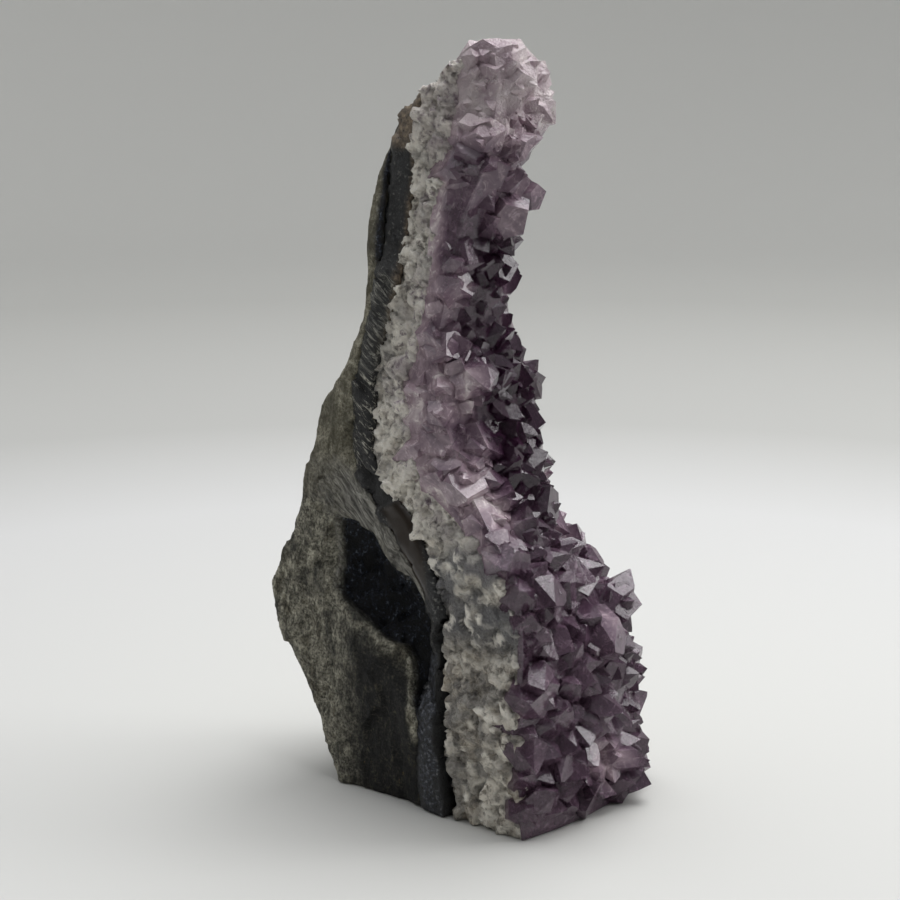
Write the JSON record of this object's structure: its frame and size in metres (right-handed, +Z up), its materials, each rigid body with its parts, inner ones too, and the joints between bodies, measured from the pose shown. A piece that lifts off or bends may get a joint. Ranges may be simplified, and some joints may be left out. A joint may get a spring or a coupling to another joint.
{
  "type": "amethyst geode specimen",
  "caption": "Broken slab of geode wall standing on a sawn flat base, with basalt behind, a dark agate rind, milky quartz and amethyst crystals in front.",
  "frame": {"origin": "middle of the bounding box's bottom, on the sawn base", "axes": "+Z up from the sawn base, -Y out of the crystal face, +Y towards the weathered basalt back, -X towards the broken end that shows the layers"},
  "size_m": [0.0604, 0.0976, 0.1977],
  "materials": {
    "basalt": "broken and weathered basalt, matte, greenish grey with dark hollows",
    "agate": "dark broken agate rind, satin",
    "quartz": "milky granular quartz, broken, satin with sparkling grains",
    "amethyst": "clear to milky purple crystal, natural glossy faces"
  },
  "bodies": {
    "root": {"basalt_matrix": "basalt", "agate_rind": "agate", "quartz_band": "quartz", "amethyst_druse": "amethyst"}
  },
  "joints": []
}
